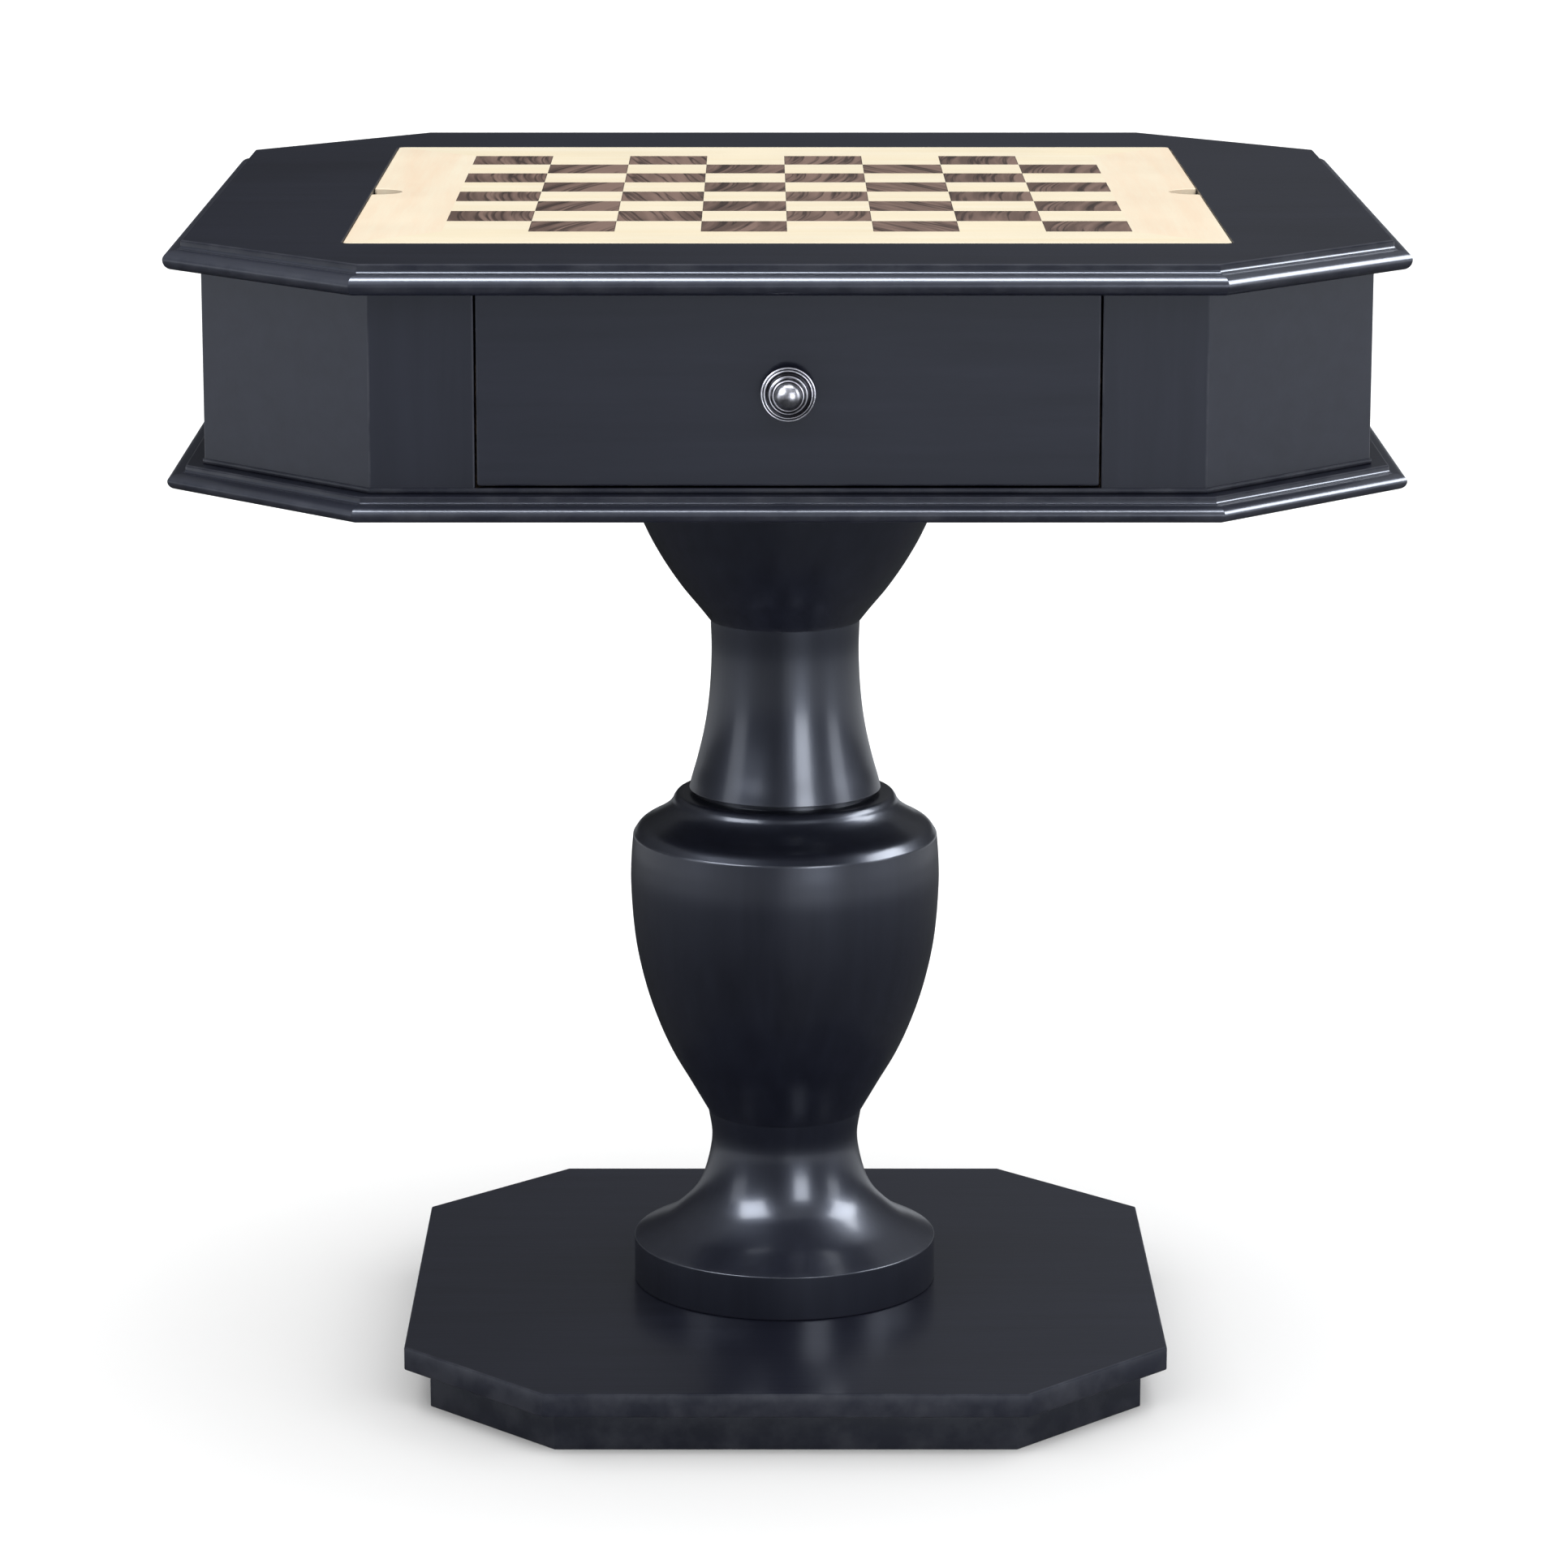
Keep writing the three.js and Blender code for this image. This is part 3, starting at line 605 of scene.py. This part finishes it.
def mitredEnd(halfLength, side):
    # the end of a plan outline on the +1 or -1 side: half of the rounded corner, then the mitre
    r, thick = carcassLook["arris"], carcassLook["thick"]
    bend = arc((-r, side * (halfLength - mitreLean * r)), (r, r), 0, side * 22.5, 5)
    flat = np.array([(0.0, bend[0, 1] - side * edgeHold)])
    inside = np.array([(-thick, side * (halfLength - mitreLean * thick))])
    return np.vstack([flat, bend, inside]), np.array([0.0] + [1.0] * len(bend) + [0.0])


def squareEnd(at, side):
    # the end beside a drawer: a quarter round arris, then straight back
    r, thick = carcassLook["openingArris"], carcassLook["thick"]
    bend = arc((-r, at - side * r), (r, r), 0, side * 90, 6)
    flat = np.array([(0.0, bend[0, 1] - side * edgeHold)])
    return np.vstack([flat, bend, [(-thick, at)]]), np.array([0.0] + [1.0] * len(bend) + [0.0])


def buildCarcassPanel(node, turn, low, high, lowEnd, highEnd, finish):
    # the plan outline runs up the outside from one end to the other and back along the inside,
    # and is carried straight up
    plan = np.vstack([lowEnd[0][::-1], highEnd[0]])
    wornAndSheen = np.concatenate([lowEnd[1][::-1], highEnd[1]])
    distance = sideOf(carcassLook["half"], carcassLook["cut"], turn)[0]
    levels = [np.column_stack([plan, np.full(len(plan), z)]) for z in (low, high)]
    points = standOnSide(np.vstack(levels), distance, turn)
    faces = ringFaces(2, len(plan)) + endCaps(2, len(plan))
    piece = addMesh(node + "_board", points, faces, "table", finish, np.tile(wornAndSheen, 2), 30.0)
    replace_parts(piece, node)


def buildCarcass():
    opening = carcassLook["openingHalf"]
    for turn, side in enumerate(sideNames):
        halfLength = sideOf(carcassLook["half"], carcassLook["cut"], turn)[1]
        if side in ("front", "back"):
            lowHand, highHand = ("left", "right") if side == "front" else ("right", "left")
            node = "stile_" + side + "_" + highHand
            low, high = boxOf(node)[0][2], boxOf(node)[1][2]
            lowEnd, highEnd = squareEnd(opening, -1), mitredEnd(halfLength, 1)
            buildCarcassPanel(node, turn, low, high, lowEnd, highEnd, lacquerZ)
            node = "stile_" + side + "_" + lowHand
            lowEnd, highEnd = mitredEnd(halfLength, -1), squareEnd(-opening, 1)
            buildCarcassPanel(node, turn, low, high, lowEnd, highEnd, lacquerZ)
        else:
            node = ("corner_panel_" if turn % 2 else "side_panel_") + side
            grain = [lacquerY, lacquerSlantBack, lacquerX, lacquerSlant][turn % 4]
            low, high = boxOf(node)[0][2], boxOf(node)[1][2]
            lowEnd, highEnd = mitredEnd(halfLength, -1), mitredEnd(halfLength, 1)
            buildCarcassPanel(node, turn, low, high, lowEnd, highEnd, grain)


boardBuild = {
    "half": boxOf("game_board")[1][0],
    "corner": 4.5,
    "notchHalf": 18.0,
    "notchDepth": 19.0,
    "notchCorner": 2.2,
    "ease": 0.45,
}


def boardOutline():
    # one half turn of the board: from the lower mouth of a notch, round the notch and two
    # corners, to the lower mouth of the other notch; the other half is the same turned round
    half, corner, notch = boardBuild["half"], boardBuild["corner"], boardBuild["notchHalf"]
    mouth, depth = boardBuild["notchCorner"], boardBuild["notchDepth"]
    lowerMouth = arc((half - mouth, -notch), (mouth, mouth), 0, 80, 5)
    wall = arc((half - mouth, 0), (depth - mouth, notch - mouth), -90, -270, 24)
    upperMouth = arc((half - mouth, notch), (mouth, mouth), -80, 0, 5)
    right = np.vstack([lowerMouth, wall, upperMouth])
    cornerA = arc((half - corner, half - corner), (corner, corner), 0, 90, 7)
    cornerB = arc((corner - half, half - corner), (corner, corner), 90, 180, 7)
    turnAbout = np.vstack([right, cornerA, cornerB])
    full = np.vstack([turnAbout, -turnAbout])
    step = np.roll(full, -1, axis=0) - full
    step /= np.linalg.norm(step, axis=1, keepdims=True)
    alongEdge = step + np.roll(step, 1, axis=0)
    alongEdge /= np.linalg.norm(alongEdge, axis=1, keepdims=True)
    return full, np.column_stack([alongEdge[:, 1], -alongEdge[:, 0]])


def buildBoard():
    # rings of the outline moved in or out along its own outward direction, as on the slabs
    line, outward = boardOutline()
    low, high = boxOf("game_board")[0][2], boxOf("game_board")[1][2]
    rings = edgeRings(None, low, high, boardBuild["ease"], hold=0.4)
    stack = [np.column_stack([line + outward * offset, np.full(len(line), z)]) for _, offset, z, _ in rings]
    faces = ringFaces(len(rings), len(line)) + endCaps(len(rings), len(line))
    wornAndSheen = np.repeat([r[3] for r in rings], len(line))
    piece = addMesh("inlaid_game_board", np.vstack(stack), faces, "lift_off_board",
                    inlaidBoard, wornAndSheen)
    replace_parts(piece, "game_board")


drawerLook = {
    "knobHeight": 709.5,
    "ease": 0.9,
    "backEase": 0.5,
    "cornerRadius": 1.6,
    "around": 112,
    "boxEase": 0.8,
    "bottomEase": 0.4,
    "guideEase": 0.6,
    "screwHole": 2.3,
    "screwBite": 7.0,         # how far the screw goes into the knob
    "screwHead": (4.5, 2.5),  # radius and height
    "screwShank": 2.0,
    "screwAround": 32,
    "gap": 0.3,               # left between pieces that would touch
}


def knobProfile():
    # radius, and distance out from the drawer face: foot, stem, a rim with two beads, a deep
    # channel, a bead on a raised ring, and a dome in a thin collar; with it, how polished each
    # part is
    hole, gap = drawerLook["screwHole"], drawerLook["gap"]
    holeEnd = drawerLook["screwBite"] + gap
    stem = [(8.0, 1.9), (6.2, 3.1), (5.5, 4.6), (5.5, 7.2), (6.6, 9.1), (9.6, 10.3), (13.8, 11.0)]
    parts = [
        (np.array([(0, holeEnd), (hole, holeEnd), (hole, gap), (7.6, gap)]), 0.0),
        (arc((7.5, 0.8), (0.5, 0.5), -90, 0, 3), 0.6),
        (smoothCurve(stem, 5), 0.15),
        (arc((15.85, 11.65), (0.65, 0.8), -80, 150, 12), 1.0),
        (np.array([(14.95, 11.7)]), 0.0),
        (arc((14.2, 12.4), (0.55, 0.6), -10, 175, 10), 1.0),
        (np.array([(13.45, 11.6), (12.7, 11.4), (12.0, 11.7), (11.75, 13.2)]), 0.0),
        (arc((11.2, 14.9), (0.55, 0.7), -20, 130, 9), 0.8),
        (smoothCurve([(10.6, 15.55), (10.2, 15.9), (9.8, 16.6), (9.65, 17.5)], 4), 0.1),
        (arc((8.95, 18.1), (0.55, 0.6), -10, 150, 8), 0.9),
        (np.array([(8.35, 18.1), (8.2, 18.4)]), 0.0),
        (arc((0, 18.7), (8.15, 6.4), 4, 90, 18), 0.5),
    ]
    polish = np.concatenate([[wornAndSheen] * len(part) for part, wornAndSheen in parts])
    return np.vstack([part for part, _ in parts]), polish


def buildDrawer(end, axis):
    # every board of the box is a merged copy with its edges eased, and the face, knob and
    # screw are made new
    body = end + "_drawer"
    low, high = boxOf(body + "_face")
    outFace = max(abs(low[1]), abs(high[1]))
    thick = high[1] - low[1]
    middle = (low[2] + high[2]) / 2 - drawerLook["knobHeight"]
    shape = (high[0], (high[2] - low[2]) / 2, 0.0, drawerLook["cornerRadius"], (0.0, middle))
    outward = np.array(axis[2])
    place = outward * (outFace - thick) + np.array([0, 0, drawerLook["knobHeight"]])
    hole = circle(drawerLook["screwHole"])
    ease, backEase = drawerLook["ease"], drawerLook["backEase"]
    rings = [(hole, 0.0, 0.0, 0.0)] + edgeRings(shape, 0.0, thick, ease, backEase) + [(hole, 0.0, thick, 0.0)]
    face = slab(body + "_front_board", rings, body, lacquerX, axis=axis, place=place)
    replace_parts(face, body + "_face")

    profile, polish = knobProfile()
    place = outward * outFace + np.array([0, 0, drawerLook["knobHeight"]])
    knob = turning(body + "_stepped_knob", profile, body, pewter, polish, drawerLook["around"],
                   axis, place)
    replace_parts(knob, body + "_knob")

    inside = -thick - drawerLook["gap"]
    bite, radius = drawerLook["screwBite"], drawerLook["screwShank"]
    head = arc((0, inside), drawerLook["screwHead"], -90, -8, 9)
    shank = [head[-1], (4.4, inside), (radius, inside), (radius, bite - 0.4), (1.2, bite), (0.0, bite)]
    profile = np.vstack([head[:-1], eased(shank, 0.15, 3)])
    screw = turning(body + "_pan_screw", profile, body, zincSteel, np.ones(len(profile)),
                    drawerLook["screwAround"], axis, place)
    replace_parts(screw, body + "_knob_screw")

    boxEase, bottomEase = drawerLook["boxEase"], drawerLook["bottomEase"]
    boards = (("left_side", boxEase, drawerWoodY), ("right_side", boxEase, drawerWoodY),
              ("back", boxEase, drawerWoodX), ("bottom", bottomEase, drawerWoodX))
    for part, partEase, finish in boards:
        easedCopy(body + "_" + part, partEase, finish)


def easedCopy(node, ease, finish):
    # a merged copy of a CAD mesh, its flat faces made whole and its edges rounded over
    work = bmesh.new()
    work.from_mesh(frame["nodes"][node].data)
    bmesh.ops.remove_doubles(work, verts=work.verts, dist=1e-6)
    bmesh.ops.dissolve_limit(work, angle_limit=math.radians(1), verts=work.verts, edges=work.edges)
    crisp = [edge for edge in work.edges if edge.calc_face_angle(0) > math.radians(30)]
    for face in work.faces:
        face.smooth = False
    made = bmesh.ops.bevel(work, geom=crisp, offset=ease * mm, segments=3, profile=0.5, affect="EDGES")
    for face in made["faces"]:
        face.smooth = True
    mesh = bpy.data.meshes.new(node + "_eased")
    work.to_mesh(mesh)
    work.free()
    mesh.materials.append(finish)
    piece = bpy.data.objects.new(node + "_eased", mesh)
    scene.collection.objects.link(piece)
    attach(piece, bodyOf[node])
    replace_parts(piece, node)


pedestalLook = {
    "around": 192,
    "soft": 1.0,              # how far a crisp turned edge is rounded
    "rubAndSheenReach": 0.8,
    "footRim": (102.5, 73.5),
    "urnEdge": (102.3, 355.0),
    "neckRim": 64.5,
    "neckUndercut": 60.5,
    "bowlRadius": 103.9,
}


def turnedLacquer(node, line, edges):
    # the edge mask is 1 within half the reach of a crisp edge and fades to 0 at one and a half; there the
    # lacquer lays its lighter edge colour, edge wear and a painted highlight
    wornAndSheen = np.zeros(len(line))
    for radius, height in edges:
        near = np.hypot(line[:, 0] - radius, line[:, 1] - height)
        wornAndSheen = np.maximum(wornAndSheen, np.clip(1.5 - near / pedestalLook["rubAndSheenReach"], 0, 1))
    piece = turning(node + "_turning", line, "table", lacquerZ, wornAndSheen, pedestalLook["around"])
    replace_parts(piece, node)


def buildPedestal():
    # every profile is radius and height, from the bore out along the foot, up the outside
    # and back in to the bore
    bore, soft = rodBore, pedestalLook["soft"]

    foot, top = boxOf("foot")[0][2], boxOf("foot")[1][2]
    rim = pedestalLook["footRim"]
    flare = smoothCurve([rim, (91, 79.3), (80.5, 85.5), (69.5, 94.8), (62, 103), (56.3, 113), (51.4, 129.3),
                         (49.4, 145), (52, top)])
    disc = [(bore + 4, foot), (rim[0], foot), (rim[0], foot + 3), (rim[0], rim[1] - 2), rim, flare[4]]
    line = np.vstack([[(bore, foot)], eased(disc, soft, 6), flare[5:], [(bore, top)]])
    turnedLacquer("foot", line, [rim])

    foot, top = boxOf("urn")[0][2], boxOf("urn")[1][2]
    edge = pedestalLook["urnEdge"]
    belly = smoothCurve([(52.3, foot), (64.4, 184.1), (75.8, 203.8), (84.7, 223.3), (93.7, 249.4),
                         (100.8, 282), (103.9, 321), (103.5, 340), edge])
    shoulder = smoothCurve([edge, (97.8, 361.2), (87.5, 367.2), (80, 372.6), (76.2, 377), (74.4, 380.6),
                            (72.4, 382.9), (69.5, top)])
    bend = eased([belly[-4], edge, shoulder[4]], 0.9, 6)
    line = np.vstack([[(bore, foot)], belly[:-4], bend, shoulder[5:], [(bore, top)]])
    turnedLacquer("urn", line, [edge])

    foot, top = boxOf("neck")[0][2], boxOf("neck")[1][2]
    rim, undercut = (pedestalLook["neckRim"], foot + 3), pedestalLook["neckUndercut"]
    waist = smoothCurve([rim, (62.7, 393.4), (58.8, 407.1), (54.1, 427.5), (50.9, 450), (49.3, 480),
                         (49.9, top)])
    lip = eased([(undercut, foot + 3), rim, waist[3]], soft, 6)
    under = [(bore, foot), (undercut, foot), (undercut, foot + 2.7)]
    line = np.vstack([under, lip, waist[4:], [(bore, top)]])
    turnedLacquer("neck", line, [rim])

    foot, top = boxOf("bowl")[0][2], boxOf("bowl")[1][2]
    wide = pedestalLook["bowlRadius"]
    cup = smoothCurve([(50.6, foot), (57.2, 510.4), (68, 523.6), (77.4, 536.9), (85.5, 550.1),
                       (92.4, 563.3), (100.8, 584), (wide, 604)])
    under = eased([(bore + 4, foot), cup[0], cup[4]], 0.5, 4)
    line = np.vstack([[(bore, foot)], under, cup[5:], [(wide, top - 1), (wide, top), (bore, top)]])
    turnedLacquer("bowl", line, [(50.6, foot)])


buildPanels()
low, high = boxOf("top_frame")[0][2], boxOf("top_frame")[1][2]
buildNosing("top_nosing", low, high - nosingLook["topDrop"])
low, high = boxOf("bottom_panel")[0][2], boxOf("bottom_panel")[1][2]
buildNosing("bottom_nosing", low, high - nosingLook["bottomDrop"])
print("panels and mouldings made")
buildCarcass()
buildBoard()
print("carcass and game board made")
buildDrawer("front", towardsFront)
buildDrawer("back", towardsBack)
for hand in ("left", "right"):
    easedCopy("drawer_guide_" + hand, drawerLook["guideEase"], drawerWoodY)
for side in ("front", "back", "left", "right"):
    grain = lacquerX if side in ("front", "back") else lacquerY
    easedCopy("well_wall_" + side, tableLook["wellEase"], grain)
print("drawers and well made")
buildPedestal()
print("pedestal turned")


cameraLook = {
    "place": (-0.0165, -3.6137, 1.2058),
    "pitch": 0.2140,
    "lens": 126.4,
    "shift": (0.015, -0.03),
    "sensor": 36.0,
    "clip": (0.1, 200.0),
}


def addCamera():
    data = bpy.data.cameras.new("camera")
    data.lens = cameraLook["lens"]
    data.sensor_width = cameraLook["sensor"]
    data.shift_x, data.shift_y = cameraLook["shift"]
    data.clip_start, data.clip_end = cameraLook["clip"]
    camera = bpy.data.objects.new("camera", data)
    camera.location = cameraLook["place"]
    camera.rotation_euler = (math.pi / 2 - cameraLook["pitch"], 0, 0)
    scene.collection.objects.link(camera)
    scene.camera = camera


studio = {
    "tint": (0.90, 0.94, 1.0),
    "brightest": 1.5,         # the top of the three scales below
    # height of a direction above the horizon, as its sine, and how bright the studio is there:
    # a light sweep low down, dark walls, and a pale ceiling
    "bands": [(-1.0, 0.09), (-0.30, 0.10), (-0.20, 0.20), (-0.16, 1.08), (-0.04, 1.0), (0.02, 0.07),
              (0.16, 0.11), (0.45, 0.34), (0.80, 0.60), (1.0, 0.8)],
    # brighter to the right: the same for a direction's sideways part
    "sideways": [(-1.0, 1.06), (-0.35, 0.64), (-0.12, 0.56), (0.08, 1.50), (0.5, 1.2), (1.0, 1.12)],
    # darker behind the table
    "backwards": [(-1.0, 1.0), (0.0, 1.0), (0.6, 0.75), (1.0, 0.42)],
    "floor": (0.92, 0.92, 0.92),
    "floorReach": 60.0,
    "floorRoughness": 0.9,
    "floorSheen": 0.1,
    # the lamp that lights the floor and the board: strength, softness, tilt back and turn in degrees
    "overhead": (3.5, 120.0, 12.0, 30.0),
    "overheadColour": (1.0, 0.985, 0.96),
    "softboxes": {
        # bearing from the front and rise in degrees, width and height in metres, watts;
        # these are only there to be mirrored in the lacquer
        "left_window": (-48, 37, 1.45, 1.15, 88),
        "left_strip": (-68, 13, 0.95, 1.00, 7),
        "right_window": (90, 33, 1.40, 1.05, 78),
        "right_strip": (74, 13, 0.80, 1.00, 11),
        "middle_strip": (24, 13, 0.85, 0.90, 32),
        "ceiling_window": (0, 84, 2.20, 0.80, 150),
    },
    "softboxDistance": 2.5,
    "softboxAim": (0.0, 0.0, 0.35),
}


def brightnessRamp(make, value, stops):
    # a ramp from -1 to 1, with its greys standing for shares of the brightest level
    spread = make.add("ShaderNodeMapRange", {"Value": value, "From Min": -1.0, "From Max": 1.0})
    shares = [((position + 1) / 2, level / studio["brightest"]) for position, level in stops]
    return make.math("MULTIPLY", make.ramp(spread.outputs[0], shares), studio["brightest"])


def addStudio():
    # the softboxes reach only the turned work, knobs and mouldings, so the flats carry no glare
    rounded = bpy.data.collections.new("rounded_work")
    for piece in scene.objects:
        if piece.name.endswith(("_turning", "_stick", "_stepped_knob")):
            rounded.objects.link(piece)
    world = bpy.data.worlds.new("studio")
    world.use_nodes = True
    make = FinishNodes(world.node_tree)
    direction = make.add("ShaderNodeTexCoord").outputs["Generated"]
    x, y, z = make.add("ShaderNodeSeparateXYZ", {"Vector": direction}).outputs
    across = make.math("MULTIPLY", brightnessRamp(make, x, studio["sideways"]),
                       brightnessRamp(make, y, studio["backwards"]))
    level = make.math("MULTIPLY", brightnessRamp(make, z, studio["bands"]), across)
    background = world.node_tree.nodes["Background"]
    background.inputs["Color"].default_value = (*studio["tint"], 1)
    make.put(background.inputs["Strength"], level)
    scene.world = world
    strength, softness, tilt, turn = studio["overhead"]
    data = bpy.data.lights.new("overhead", "SUN")
    data.energy = strength
    data.angle = math.radians(softness)
    data.color = studio["overheadColour"]
    lamp = bpy.data.objects.new("overhead", data)
    lamp.rotation_euler = (math.radians(tilt), 0, math.radians(turn))
    lamp.visible_glossy = False
    scene.collection.objects.link(lamp)
    for name, (bearing, rise, width, height, watts) in studio["softboxes"].items():
        data = bpy.data.lights.new(name, "AREA")
        data.shape = "RECTANGLE"
        data.size, data.size_y = width, height
        data.energy = watts
        data.color = studio["tint"]
        data.cycles.max_bounces = 0       # seen in the lacquer itself, not in a reflection of it
        box = bpy.data.objects.new(name, data)
        turned, raised = math.radians(bearing), math.radians(rise)
        flatReach = math.cos(raised)
        away = Vector((math.sin(turned) * flatReach, -math.cos(turned) * flatReach, math.sin(raised)))
        box.location = Vector(studio["softboxAim"]) + away * studio["softboxDistance"]
        box.rotation_euler = away.to_track_quat("Z", "Y").to_euler()
        box.visible_camera = False
        box.visible_diffuse = False
        box.light_linking.receiver_collection = rounded
        scene.collection.objects.link(box)


def addFloor():
    reach = studio["floorReach"]
    mesh = bpy.data.meshes.new("studio_floor")
    corners = [(-reach, -reach, 0), (reach, -reach, 0), (reach, reach, 0), (-reach, reach, 0)]
    mesh.from_pydata(corners, [], [(0, 1, 2, 3)])
    floor = bpy.data.objects.new("studio_floor", mesh)
    floor.visible_glossy = False          # the lacquer mirrors the sweep and the walls instead
    scene.collection.objects.link(floor)
    finish, _, shader = newFinish("pale_floor")
    shader.inputs["Base Color"].default_value = (*studio["floor"], 1)
    shader.inputs["Roughness"].default_value = studio["floorRoughness"]
    shader.inputs["Specular IOR Level"].default_value = studio["floorSheen"]
    mesh.materials.append(finish)


scene.view_settings.view_transform = "Standard"
addCamera()
addStudio()
addFloor()
print("camera, lights and floor set")


def dress(node, finish):
    mesh = frame["nodes"][node].data
    mesh.materials.clear()
    mesh.materials.append(finish)


for node in ("tie_rod", "rod_nut"):
    dress(node, zincSteel)
